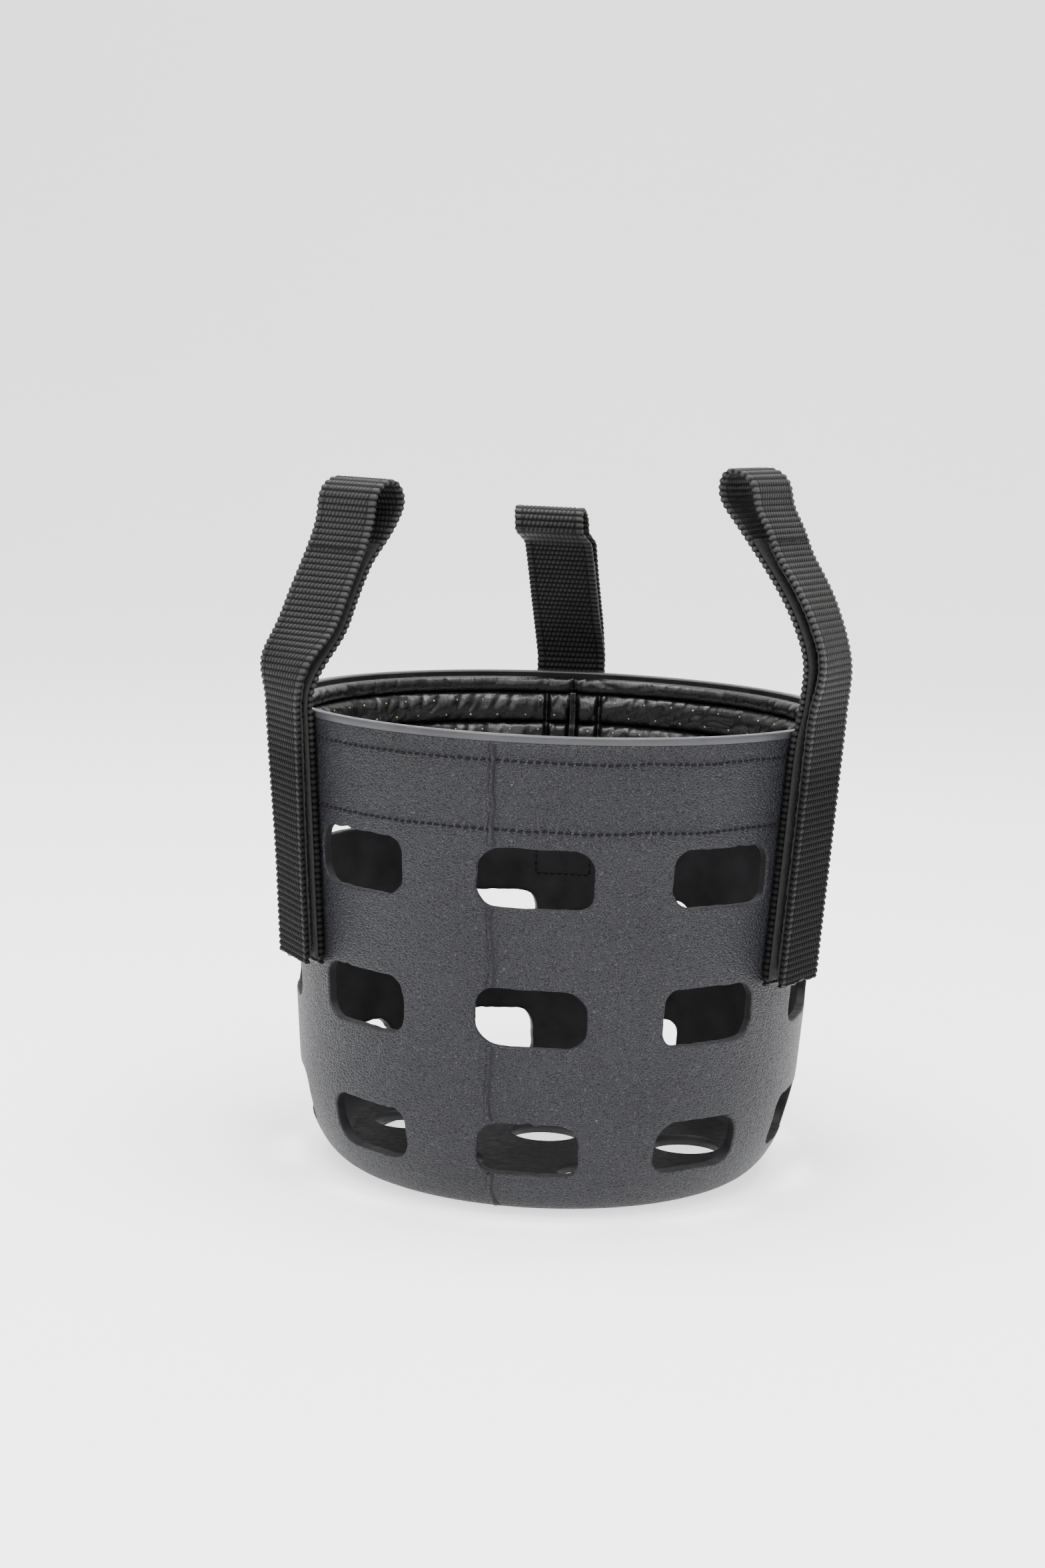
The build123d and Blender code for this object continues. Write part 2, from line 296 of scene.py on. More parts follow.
def ramp(tree, factor, stops):
    """A colour ramp through (position, colour) stops, where a bare number is a grey."""
    made = node(tree, "ValToRGB", Fac=factor)
    elements = made.color_ramp.elements
    while len(elements) < len(stops):
        elements.new(0.5)
    for element, (position, colour) in zip(elements, stops):
        element.position = position
        element.color = colour if isinstance(colour, tuple) else grey(colour)
    return made.outputs["Color"]


def noise(tree, vector, scale, detail=3.0, roughness=0.6, distortion=0.0):
    return node(tree, "TexNoise", Vector=vector, Scale=scale, Detail=detail, Roughness=roughness,
                Distortion=distortion).outputs["Fac"]


def cells(tree, vector, scale, feature="F1", randomness=1.0):
    return node(tree, "TexVoronoi", {"feature": feature}, Vector=vector, Scale=scale,
                Randomness=randomness).outputs["Distance"]


def bump(tree, height, strength, depth, before=None):
    made = node(tree, "Bump", Height=height, Strength=strength, Distance=depth)
    if before is not None:
        tree.links.new(before, made.inputs["Normal"])
    return made.outputs["Normal"]


def new_material(name, **fixed):
    """A material with a principled shader whose uniform values are set on its own sockets."""
    made = bpy.data.materials.new(name)
    made.use_nodes = True
    tree = made.node_tree
    tree.nodes.clear()
    shader = node(tree, "BsdfPrincipled", **fixed)
    output = node(tree, "OutputMaterial")
    tree.links.new(shader.outputs["BSDF"], output.inputs["Surface"])
    place = node(tree, "TexCoord").outputs["Object"]
    return made, tree, shader, place


def link(tree, shader, **sockets):
    for key, socket in sockets.items():
        tree.links.new(socket, shader.inputs[key.replace("_", " ")])


def stretched(tree, vector, scale, turn=0.0):
    """A coordinate scaled along each axis and turned in its own plane."""
    made = node(tree, "Mapping", Vector=vector, Scale=scale, Rotation=(0, 0, math.radians(turn)))
    return made.outputs["Vector"]


def upright(tree, vector):
    return node(tree, "SeparateXYZ", Vector=vector).outputs["Z"]


def noise_colour(tree, vector, scale):
    return node(tree, "TexNoise", Vector=vector, Scale=scale, Detail=2.0).outputs["Color"]


def shifted(tree, vector, offset, amount):
    """A coordinate pushed about by another one, so a regular pattern becomes irregular."""
    push = node(tree, "VectorMath", {"operation": "SCALE"}, Vector=offset, Scale=amount).outputs["Vector"]
    added = node(tree, "VectorMath", {"operation": "ADD"})
    tree.links.new(vector, added.inputs[0])
    tree.links.new(push, added.inputs[1])
    return added.outputs["Vector"]


def multiplied(tree, first, second, amount=1.0):
    made = node(tree, "MixRGB", {"blend_type": "MULTIPLY"}, Fac=amount, Color1=first, Color2=second)
    return made.outputs["Color"]


def rubber_grained():
    """Moulded slate-grey rubber: a pebble grain like coarse leather, a painted glint round each pebble with painted
    shade in the cracks, and a little pale dust.
    """
    made, tree, shader, place = new_material("rubber_grained")
    grain_at = shifted(tree, stretched(tree, place, (540, 540, 860)), noise_colour(tree, place, 520), 1.0)
    edges = cells(tree, grain_at, 1.0, "DISTANCE_TO_EDGE")
    pebbles = ramp(tree, edges, [(0.0, 0.0), (0.12, 0.62), (0.42, 1.0)])
    fine = noise(tree, place, 2600, 2)
    patches = ramp(tree, noise(tree, place, 26, 4), [(0.3, grey(0.0072, 0.0021)), (0.7, grey(0.0100, 0.0028))])
    # Painted light on the grain: darker in the cracks between pebbles, with a bright painted glint ring round each
    # pebble.
    crevice_shade_and_glints = ramp(tree, edges, [(0.02, 0.8), (0.08, 0.95), (0.15, 2.3), (0.22, 1.0), (0.5, 0.7)])
    shine = ramp(tree, edges, [(0.02, 0.17), (0.15, 0.40), (0.25, 0.15)])
    dust = ramp(tree, cells(tree, place, 160), [(0.045, 1.0), (0.07, 0.0)])
    dust_places = ramp(tree, noise(tree, place, 55, 2), [(0.62, 0.0), (0.7, 0.8)])
    base = multiplied(tree, patches, crevice_shade_and_glints)
    specks = multiplied(tree, dust, dust_places)
    colour = node(tree, "MixRGB", {"blend_type": "MIX"}, Fac=specks, Color1=base, Color2=grey(0.2))
    rough = ramp(tree, noise(tree, place, 900, 3), [(0.3, 0.40), (0.75, 0.62)])
    grain = bump(tree, pebbles, 0.7, 0.55 * MM)
    link(tree, shader, Base_Color=colour.outputs["Color"], Roughness=rough, Specular_IOR_Level=shine,
         Normal=bump(tree, fine, 0.3, 0.1 * MM, grain))
    return made


def rubber_smooth(name, dark, light, roughness, lines=0.0, shine=0.3):
    """Ungrained rubber: the inner face, the rim band or a cut edge, with faint drag lines."""
    made, tree, shader, place = new_material(name, Specular_IOR_Level=shine)
    tone = ramp(tree, noise(tree, place, 60, 4), [(0.3, grey(dark, dark * 0.1)), (0.72, grey(light, light * 0.1))])
    rough = ramp(tree, noise(tree, place, 240, 3), [(0.3, roughness - 0.08), (0.7, roughness + 0.1)])
    drag = noise(tree, stretched(tree, place, (40, 40, 1800)), 1.0, 3)
    normal = bump(tree, noise(tree, place, 500, 4), 0.3, 0.15 * MM)
    link(tree, shader, Base_Color=tone, Roughness=rough, Normal=bump(tree, drag, 0.15 + lines, 0.12 * MM, normal))
    return made


def flow_coordinate(tree):
    return node(tree, "Attribute", {"attribute_name": "flow"}).outputs["Vector"]


def black_vinyl():
    """Soft black leathercloth: fine slanted creases, pores and uneven gloss."""
    made, tree, shader, place = new_material("black_vinyl", Specular_IOR_Level=0.38)
    along = flow_coordinate(tree)
    creases = noise(tree, stretched(tree, along, (900, 260, 1), 38), 1.0, 4, 0.65, 0.6)
    pores = cells(tree, along, 1500)
    folds = cells(tree, stretched(tree, along, (330, 150, 1), 25), 1.0, "DISTANCE_TO_EDGE")
    tone = ramp(tree, creases, [(0.3, 0.0015), (0.62, 0.003), (0.8, grey(0.006, 0.0005))])
    rough = ramp(tree, noise(tree, place, 420, 4), [(0.3, 0.24), (0.72, 0.38)])
    normal = bump(tree, folds, 0.2, 0.25 * MM)
    normal = bump(tree, creases, 0.42, 0.35 * MM, normal)
    link(tree, shader, Base_Color=tone, Roughness=rough, Normal=bump(tree, pores, 0.2, 0.08 * MM, normal))
    return made


def cream_foam():
    made, tree, shader, place = new_material("cream_foam", Roughness=0.9)
    pores = cells(tree, place, 1900)
    tone = ramp(tree, pores, [(0.1, (0.13, 0.11, 0.04, 1)), (0.6, (0.26, 0.23, 0.10, 1))])
    link(tree, shader, Base_Color=tone, Normal=bump(tree, pores, 0.8, 0.25 * MM))
    return made


def woven_webbing():
    """Charcoal woven yarn: filaments along the strap, and painted shade that darkens it between the ribs and lower
    down.

    The darkening with height is painted shade, standing in for the darker low ends of the straps.
    """
    made, tree, shader, place = new_material("woven_webbing", Sheen_Weight=0.03,
                                             Sheen_Roughness=0.45)
    along = flow_coordinate(tree)
    filaments = noise(tree, stretched(tree, along, (5200, 700, 1), 8), 1.0, 3)
    patchy_tone_and_low_shade = ramp(tree, noise(tree, place, 70, 3), [(0.3, 0.80), (0.7, 1.15)])
    # Painted shade: a height share that darkens the webbing's colour and lowers its specular level towards the
    # bottom.
    level = node(tree, "MapRange", Value=upright(tree, place), From_Min=DARK_BELOW,
                 From_Max=PALE_ABOVE).outputs["Result"]
    patchy_tone_and_low_shade = multiplied(tree, patchy_tone_and_low_shade, ramp(tree, level, [(0.0, 0.30), (1.0, 1.45)]))
    height = upright(tree, along)
    # Painted shade in the weave: the yarn's colour is darker in the hollows between its crests.
    yarn = ramp(tree, height, [(0.15, 0.0022), (0.6, 0.0085), (0.95, grey(0.021, -0.002, 0.0008))])
    hairs = ramp(tree, filaments, [(0.3, 0.72), (0.7, 1.15)])
    colour = multiplied(tree, multiplied(tree, yarn, patchy_tone_and_low_shade), hairs)
    rough = ramp(tree, filaments, [(0.3, 0.5), (0.75, 0.72)])
    shine = ramp(tree, height, [(0.15, 0.08), (0.6, 0.19), (0.95, 0.31)])
    shine = multiplied(tree, shine, ramp(tree, level, [(0.0, 0.35), (1.0, 1.1)]))
    link(tree, shader, Base_Color=colour, Roughness=rough, Specular_IOR_Level=shine,
         Normal=bump(tree, filaments, 0.6, 0.18 * MM))
    return made


def fuzzy_tape(name, scale, level, depth):
    """The face of a hook-and-loop tape, matt black with a bristly or woolly nap."""
    made, tree, shader, place = new_material(name, Specular_IOR_Level=0.25, Sheen_Weight=0.06, Sheen_Roughness=0.6)
    nap = noise(tree, place, scale, 4, 0.75, 1.2)
    tone = ramp(tree, nap, [(0.3, level * 0.35), (0.7, level)])
    rough = ramp(tree, nap, [(0.3, 0.62), (0.7, 0.85)])
    link(tree, shader, Base_Color=tone, Roughness=rough, Normal=bump(tree, nap, 0.9, depth))
    return made


def sewing_thread():
    made, tree, shader, place = new_material("sewing_thread", Specular_IOR_Level=0.12)
    twist = noise(tree, place, 3600, 2)
    tone = ramp(tree, twist, [(0.3, 0.0006), (0.7, grey(0.003, 0, 0.001))])
    rough = ramp(tree, noise(tree, place, 800, 2), [(0.3, 0.45), (0.7, 0.65)])
    link(tree, shader, Base_Color=tone, Roughness=rough, Normal=bump(tree, twist, 0.6, 0.1 * MM))
    return made


def melted_end():
    """Where the webbing was cut with heat: fused and slightly brown."""
    made, tree, shader, place = new_material("melted_end", Specular_IOR_Level=0.5)
    lumps = noise(tree, place, 900, 3)
    tone = ramp(tree, lumps, [(0.3, (0.006, 0.004, 0.003, 1)), (0.7, (0.030, 0.020, 0.013, 1))])
    rough = ramp(tree, lumps, [(0.3, 0.35), (0.7, 0.6)])
    link(tree, shader, Base_Color=tone, Roughness=rough, Normal=bump(tree, lumps, 0.6, 0.3 * MM))
    return made


def studio_white():
    """White paper, lit from below under the bucket, so that its floor holes show white."""
    made, tree, shader, place = new_material("studio_white", Roughness=0.9, Emission_Color=(1, 1, 1, 1))
    from_middle = node(tree, "VectorMath", {"operation": "LENGTH"}, Vector=place).outputs["Value"]
    glow = ramp(tree, from_middle, [(FOOT_RADIUS - 8 * MM, 1.6), (RIM_RADIUS + 1.5 * MM, 0.4)])
    paper = ramp(tree, noise(tree, place, 3), [(0.2, 0.90), (0.8, 0.93)])
    link(tree, shader, Emission_Strength=glow, Base_Color=paper)
    return made


# rubber_inside and rubber_floor are lit and shaded copies of one rubber: the inner wall is painted lighter than the
# floor, as painted light on the wall in shade.
RUBBER = [rubber_grained(), rubber_smooth("rubber_inside", 0.004, 0.012, 0.6, 0.35, 0.10),
          # rubber_rim is painted lighter than the rest of the rubber: a painted highlight where the smooth band
          # catches light from above.
          rubber_smooth("rubber_cut", 0.004, 0.012, 0.6, 0.0, 0.16), rubber_smooth("rubber_rim", 0.030, 0.045, 0.42),
          rubber_smooth("rubber_floor", 0.003, 0.006, 0.6, 0.25, 0.07)]
GRAINED, INSIDE, CUT, BAND, FLOOR = range(5)
VINYL, FOAM, WEBBING = black_vinyl(), cream_foam(), woven_webbing()
HOOKS, PILE = fuzzy_tape("hook_bristles", 1900, 0.008, 0.3 * MM), fuzzy_tape("loop_pile", 1100, 0.01, 0.5 * MM)
THREAD, MELTED, WHITE = sewing_thread(), melted_end(), studio_white()


# ---------------------------------------------------------------- bucket shell
def corner_table(points):
    line = bezier(points, 200)
    order = np.argsort(line[:, 1])
    return line[order, 0], line[order, 1]


OUTER_CORNER = corner_table([(FOOT_RADIUS, 0), (FOOT_RADIUS + 15 * MM, 0),
                             (SHOULDER_RADIUS - 2.1 * MM, 22 * MM), (SHOULDER_RADIUS, SHOULDER_HEIGHT)])
INNER_CORNER = corner_table([(SHOULDER_RADIUS - WALL, SHOULDER_HEIGHT),
                             (SHOULDER_RADIUS - WALL - 2.1 * MM, 26 * MM),
                             (FOOT_RADIUS + 12 * MM, FLOOR_TOP), (FOOT_RADIUS + 2 * MM, FLOOR_TOP)])


def wall_radius(height, corner, offset):
    straight = RIM_RADIUS - (HEIGHT - height) * TAPER - offset
    return np.where(height >= SHOULDER_HEIGHT, straight, np.interp(height, corner[1], corner[0]))


def outer_radius(height):
    return wall_radius(np.asarray(height, float), OUTER_CORNER, 0)


def inner_radius(height):
    return wall_radius(np.asarray(height, float), INNER_CORNER, WALL)


class ShellMesh:
    """Collects the shell's patches, which are welded where they meet."""

    def __init__(self):
        self.points, self.faces, self.slots, self.count = [], [], [], 0

    def add(self, points, faces, slot):
        self.points.append(points.reshape(-1, 3))
        self.faces.extend((faces + self.count).tolist())
        self.slots.extend([slot] * len(faces))
        self.count += self.points[-1].shape[0]


def rounded_outline(width, height):
    """A window's outline, clockwise from the middle of its top left corner; no two corners alike."""
    radii = rng.uniform(*WINDOW_CORNERS, 4)
    arcs = [(-1, 1, 135, 90, 0), (1, 1, 90, 0, 1), (1, -1, 0, -90, 2), (-1, -1, -90, -180, 3),
            (-1, 1, -180, -225, 0)]
    line = []
    for side, end, first, last, corner in arcs:
        angles = np.radians(np.linspace(first, last, ARC_POINTS))
        centre = np.array([side * (width / 2 - radii[corner]), end * (height / 2 - radii[corner])])
        line.append(centre + radii[corner] * np.stack([np.cos(angles), np.sin(angles)], axis=-1))
    line = np.concatenate(line)
    travelled = np.concatenate([[0], np.cumsum(np.linalg.norm(np.diff(line, axis=0), axis=1))])
    arc_middles = [k * ARC_POINTS + ARC_POINTS // 2 for k in (1, 2, 3)]
    marks = around_cell(travelled[[0, *arc_middles, -1]])
    return np.stack([np.interp(marks, travelled, line[:, k]) for k in range(2)], axis=-1)


def around_cell(corners):
    """Values spread evenly between a cell's four corners, once round."""
    counts = [CELL_TOP_POINTS, CELL_SIDE_POINTS] * 2
    return np.concatenate([np.linspace(corners[k], corners[k + 1], counts[k], endpoint=False) for k in range(4)])


def knife_wander(count, size):
    """How far a hand-cut edge strays from its line: slow wander, small teeth and a few nicks."""
    t = np.arange(count) / count
    stray = np.zeros(count)
    for waves in range(2, 26):
        stray += np.sin(2 * math.pi * (waves * t + rng.random())) * rng.normal() / (1.5 + waves * 0.55)
    for _ in range(5):
        away = (t - rng.random() + 0.5) % 1 - 0.5
        stray += rng.normal() * 1.6 * peak(away * count, 1.3)
    return stray * size


def moved_sideways(outline, distance):
    """An outline moved away from the window, into the rubber."""
    way = np.roll(outline, -1, axis=0) - np.roll(outline, 1, axis=0)
    way /= np.linalg.norm(way, axis=1, keepdims=True)
    return outline + np.stack([-way[:, 1], way[:, 0]], axis=-1) * np.asarray(distance)[:, None]


def window_cell(shell, middle, tall, half_angle, top, bottom, centre):
    """The stretch of wall round one window: both faces and the cut between them."""
    wide = 2 * float(outer_radius(middle)) * math.sin(math.radians(half_angle))
    outline = rounded_outline(wide, tall)
    outline = moved_sideways(outline, knife_wander(len(outline), KNIFE_STRAY[0]))
    inner_outline = moved_sideways(outline, knife_wander(len(outline), KNIFE_STRAY[1]))
    half_cell = 180 / WINDOWS_PER_ROW
    border_angle = around_cell(np.array([-half_cell, half_cell, half_cell, -half_cell, -half_cell]))
    border_height = around_cell(np.array([top, top, bottom, bottom, top]))
    rims = []
    for line, radius_at, inward, slot in ((outline, outer_radius, 1, GRAINED),
                                          (inner_outline, inner_radius, -1, INSIDE)):
        heights = middle + line[:, 1]
        angles = np.degrees(np.arcsin(line[:, 0] / radius_at(heights)))
        share = np.array(CELL_RINGS)[:, None]
        height = heights * (1 - share) + border_height * share
        angle = angles * (1 - share) + border_angle * share
        dip = np.where(share == 0, EDGE_ROUND, 0) * inward
        grid = placed(radius_at(height) - dip, centre + angle, height)
        shell.add(grid, grid_faces(len(CELL_RINGS), grid.shape[1], closed=True), slot)
        rims.append(grid[0])
    depth = np.linspace(0, 1, 5)[:, None, None]
    cut = rims[0] * (1 - depth) + rims[1] * depth
    wobble = rng.normal(0, CUT_ROUGHNESS, cut.shape)
    wobble[[0, -1]] = 0
    shell.add(cut + wobble, grid_faces(5, cut.shape[1], closed=True), CUT)


def ring_rows(shell, rows, slot):
    """A band of revolution through (radius, height) rows, on the same upright lines as the cells."""
    columns = CELL_TOP_POINTS * WINDOWS_PER_ROW
    half_cell = 180 / WINDOWS_PER_ROW
    azimuth = -half_cell + np.arange(columns) * 360 / columns
    rows = np.array(rows)
    grid = placed(rows[:, :1], azimuth[None, :], rows[:, 1:])
    shell.add(grid, grid_faces(len(rows), columns, closed=True), slot)


def rim_rows():
    """Outer wall above the windows, the shadow groove, the smooth band and the rounded rim."""
    groove = HEIGHT - RIM_BAND
    heights = np.linspace(CELL_EDGES[0], groove - 0.45 * MM, 8)
    outer = [(float(outer_radius(z)), z) for z in heights]
    at_groove = [(float(outer_radius(groove)) - 0.32 * MM, groove - 0.2 * MM)]
    band = [(float(outer_radius(z)) + out, z) for z, out in
            ((groove, -0.12 * MM), (groove + 0.3 * MM, -0.02 * MM), (HEIGHT - RIM_ROUND, -0.02 * MM),
             (HEIGHT - 0.25 * MM, -0.14 * MM), (HEIGHT - 0.02 * MM, -0.5 * MM))]
    inside = float(inner_radius(HEIGHT))
    inner_top = [(inside + 0.45 * MM, HEIGHT - 0.02 * MM), (inside + 0.1 * MM, HEIGHT - 0.2 * MM),
                 (inside, HEIGHT - RIM_ROUND)]
    return outer + at_groove, at_groove + band + inner_top


def floor_disc(shell, radius, height, slot):
    """A flat disc with the grass holes left out, filled in from its edge loops."""
    work = bmesh.new()
    columns = CELL_TOP_POINTS * WINDOWS_PER_ROW
    loops = [(0, 0, radius, columns, -180 / WINDOWS_PER_ROW)]
    loops += [(azimuth, distance, HOLE_RADIUS + FLAT_EDGE, HOLE_POINTS, 0) for azimuth, distance in FLOOR_HOLES]
    for azimuth, distance, size, count, first in loops:
        centre = placed(distance, azimuth, height)
        ring = centre + placed(size, first + np.arange(count) * 360 / count, 0)
        corners = [work.verts.new(point) for point in ring]
        for k in range(count):
            work.edges.new((corners[k], corners[(k + 1) % count]))
    bmesh.ops.triangle_fill(work, use_beauty=True, use_dissolve=False, edges=work.edges)
    work.verts.index_update()
    points = np.array([v.co for v in work.verts])
    faces = np.array([[v.index for v in face.verts] for face in work.faces])
    work.free()
    shell.add(points, faces, slot)


def hole_wall(shell, azimuth, distance):
    """A grass hole's wall, with the flat strip round it on both faces of the floor."""
    turns = (np.arange(HOLE_POINTS) * 360 / HOLE_POINTS)[None, :]
    middle = placed(distance, azimuth, 0)
    for height, slot in ((RECESS, GRAINED), (FLOOR_TOP, FLOOR)):
        strip = middle + placed(np.array([[HOLE_RADIUS], [HOLE_RADIUS + FLAT_EDGE]]), turns, height)
        shell.add(strip, grid_faces(2, HOLE_POINTS, closed=True), slot)
    wall = middle + placed(HOLE_RADIUS, turns, np.array([[RECESS], [(RECESS + FLOOR_TOP) / 2], [FLOOR_TOP]]))
    shell.add(wall, grid_faces(3, HOLE_POINTS, closed=True), CUT)


def shell_base(shell):
    """The rounded lower corner, the foot ring and the recessed floor with its holes."""
    for radius_at, foot, slot in ((outer_radius, 0.0, GRAINED), (inner_radius, FLOOR_TOP, INSIDE)):
        drop = (np.linspace(1, 0, 9) ** 2) * (CELL_EDGES[-1] - foot) + foot
        ring_rows(shell, [(float(radius_at(z)), z) for z in drop], slot)
    ring_rows(shell, [(FOOT_RADIUS, 0), (FOOT_INNER + 0.3 * MM, 0), (FOOT_INNER, 0.3 * MM),
                      (FOOT_INNER - 1 * MM, RECESS - 0.3 * MM), (FOOT_INNER - 1.3 * MM, RECESS),
                      (FOOT_INNER - 1.6 * MM, RECESS)], GRAINED)
    ring_rows(shell, [(FOOT_RADIUS + 2 * MM, FLOOR_TOP), (FOOT_RADIUS, FLOOR_TOP)], FLOOR)
    floor_disc(shell, FOOT_INNER - 1.6 * MM, RECESS, GRAINED)
    floor_disc(shell, FOOT_RADIUS, FLOOR_TOP, FLOOR)
    for azimuth, distance in FLOOR_HOLES:
        hole_wall(shell, azimuth, distance)


def bucket_shell():
    shell = ShellMesh()
    for row, (middle, tall, half_angle) in enumerate(WINDOW_ROWS):
        for k in range(WINDOWS_PER_ROW):
            window_cell(shell, middle, tall, half_angle, CELL_EDGES[row], CELL_EDGES[row + 1],
                        k * 360 / WINDOWS_PER_ROW)
    outer, band = rim_rows()
    ring_rows(shell, outer, GRAINED)
    ring_rows(shell, band, BAND)
    inner_heights = np.linspace(HEIGHT - RIM_ROUND, CELL_EDGES[0], 6)
    ring_rows(shell, [(float(inner_radius(z)), z) for z in inner_heights], INSIDE)
    shell_base(shell)
    for azimuth in PARTING_AZIMUTHS:
        parting_line(shell, azimuth)
    piece = make_piece("bucket_body", np.concatenate(shell.points), shell.faces, RUBBER, shell.slots)
    tidy_normals(piece.data, WELD)
    return finish_piece(piece, "bucket", "bucket_rubber", "bucket_shell")


def parting_line(shell, azimuth):
    """The raised line that the mould's joint left, and the step beside it, darkened with the cut-edge rubber as
    painted shade.
    """
    tops = [HEIGHT - RIM_BAND - 0.6 * MM] + [middle - tall / 2 for middle, tall, _ in WINDOW_ROWS]
    feet = [middle + tall / 2 for middle, tall, _ in WINDOW_ROWS] + [0.8 * MM]
    ridge = [(-1.3, -0.2), (-0.7, 0.4), (-0.2, 0.85), (0.2, 0.8), (0.5, 0.1), (0.6, -0.2), (0, -0.4)]
    step = [(0.4, -0.2), (0.5, 0.1), (1.25, 0.08), (1.4, -0.2), (0.9, -0.4)]
    for top, foot in zip(tops, feet):
        gap = 0.5 * MM
        heights = np.linspace(foot + gap, top - gap, max(12, int((top - foot) / (0.6 * MM))))
        drift = 0.7 * MM * layered_noise(heights / (9 * MM), heights * 0, 5)
        rise = 1 + 0.45 * wavering(heights, 2.6 * MM, 9)
        flare = 1 + 0.9 * np.exp(-(heights - foot) / (3 * MM)) + 0.5 * np.exp(-(top - heights) / (3 * MM))
        # The step's darker cut-edge rubber is painted shade beside the ridge.
        for section, slot in ((ridge, GRAINED), (step, CUT)):
            grid = np.stack([placed(outer_radius(heights) + out * MM * (rise if out > 0.1 else 1), azimuth,
                                    heights, side * MM * flare + drift) for side, out in section], axis=1)
            before = shell.count
            shell.add(grid, grid_faces(len(heights), len(section), closed=True), slot)
            for end in (before, before + (len(heights) - 1) * len(section)):
                fan = [[end, end + k, end + k + 1] for k in range(1, len(section) - 1)]
                shell.faces.extend(fan)
                shell.slots.extend([slot] * len(fan))


# ---------------------------------------------------------------- stitching
def stitch_shape(length, thick):
    """One stitch: a spindle whose ends dive under the surface. Columns are along, side, out."""
    rings, sides = 7, 8
    t = np.linspace(-1, 1, rings)[:, None]
    turn = np.arange(sides)[None, :] * 2 * math.pi / sides
    size = thick / 2 * np.sqrt(np.clip(1 - np.abs(t) ** 3, 0.02, 1))
    lift = thick * (0.28 - 0.75 * t ** 4)
    return np.stack([t * length / 2 + 0 * turn, size * np.cos(turn), size * np.sin(turn) + lift], axis=-1)


def stitch_row(name, centres, along, outward, length, thick):
    """A row of stitches laid along a line on a surface."""
    shape = stitch_shape(length, thick)
    rings, sides, _ = shape.shape
    along = along / np.linalg.norm(along, axis=1, keepdims=True)
    tilt = np.cross(outward, along)
    along = along + tilt * rng.normal(0.07, 0.05, (len(centres), 1))
    points = (centres[:, None, None, :]
              + shape[None, ..., 0:1] * along[:, None, None, :]
              + shape[None, ..., 1:2] * tilt[:, None, None, :]
              + shape[None, ..., 2:3] * outward[:, None, None, :])
    faces = [face for k in range(len(centres)) for face in tube_faces(rings, sides, k * rings * sides)]
    return make_piece(name, points, faces, [THREAD])


def ring_stitches(name, radius, height, outward, pitch, waver):
    """Stitches right round the bucket, on its outer face (outward 1) or facing its axis (-1)."""
    count = round(2 * math.pi * radius / pitch)
    azimuth = np.arange(count) * 360 / count
    level = height + waver * (wavering(azimuth, 7, 21) + 0.5 * wavering(azimuth, 2, 22))
    centres = placed(radius, azimuth, level)
    facing = placed(1.0, azimuth, 0.0) * outward
    along = np.cross(np.array([0, 0, 1.0]), facing)
    return stitch_row(name, centres, along, facing, pitch * 0.8, THREAD_THICK)


def rim_stitching():
    for name, height in STITCH_ROWS.items():
        row = ring_stitches(f"rim_stitches_{name}", float(outer_radius(height)), height, 1, STITCH_PITCH,
                            0.35 * MM)
        finish_piece(row, "bucket", "thread", f"rim_stitch_{name}")


# ---------------------------------------------------------------- rim lining
LINING_SPAN = 2 * math.pi * float(inner_radius(170 * MM)) * (360 - PIPING_ANGLE) / 360


def lining_azimuth(distance, rib):
    """Azimuth of a point this far round from the joint. The roll closes over the piping."""
    left_open = 0.12 if rib == "roll" else PIPING_ANGLE
    return JOINT_AZIMUTH + left_open / 2 + distance / LINING_SPAN * (360 - left_open)


def rib_depth(rib, distance, t, inset=0.0):
    """Depth from the wall and height of a padded rib at t, from -1 at its lower valley to 1."""
    bottom, top, deepest = RIBS[rib]
    height = (bottom + top) / 2 + t * ((top - bottom) / 2 - inset)
    full = np.clip(1 - np.abs(t) ** 2.5, 0, 1) ** 0.5
    from_end = np.minimum(distance, LINING_SPAN - distance)
    seam = 0 if rib == "roll" else 0.72 * peak(from_end - PANEL_SEAM, 1.15 * MM)
    end_pull = (0.35 if rib == "roll" else 0.25) * peak(from_end, 1.2 * MM)
    seed = sorted(RIBS).index(rib) * 10
    slow = 0.6 * MM * layered_noise(distance / (17 * MM), height / (8 * MM), 60 + seed, 2)
    pleat_at = (distance + 0.6 * height) / (6.5 * MM), (height - 0.2 * distance) / (12 * MM)
    crease_at = (distance - 0.5 * height) / (4.2 * MM), (height + 0.3 * distance) / (5 * MM)
    creases = (-1.3 * MM * np.clip(1 - 2.2 * np.abs(lattice_noise(*pleat_at, 80 + seed)), 0, 1) ** 1.3
               - 0.3 * MM * np.clip(1 - 3 * np.abs(lattice_noise(*crease_at, 86 + seed)), 0, 1))
    pucker = 0.32 * MM * np.exp(-(1 - np.abs(t)) / 0.2) * lattice_noise(distance / (1.9 * MM), t * 0, 95 + seed)
    plump = (deepest - VALLEY_DEPTH) * full * (1 - seam - end_pull)
    soft = full * (slow + creases) + pucker * full ** 0.5
    if rib == "roll":
        soft = soft * 0.55
    return VALLEY_DEPTH + plump + soft - inset, height


def lining_columns():
    """Distances round from the joint, closer together near the seams beside it."""
    fine = np.arange(0, SEAM_REACH, 0.45 * MM)
    middle = np.linspace(SEAM_REACH, LINING_SPAN - SEAM_REACH, 660)
    return np.concatenate([fine, middle, LINING_SPAN - fine[::-1]])


def rib_steps(count):
    return np.sin(np.linspace(-math.pi / 2, math.pi / 2, count))


def lining_solid_faces(rows, count):
    """Faces of a solid bent round the wall: its rows, the strip that closes them, and both ends."""
    last = (rows - 1) * count
    faces = grid_faces(rows, count).tolist()
    faces += [[j, last + j, last + j + 1, j + 1] for j in range(count - 1)]
    faces.append([i * count for i in range(rows)])
    faces.append([i * count + count - 1 for i in reversed(range(rows))])
    return faces


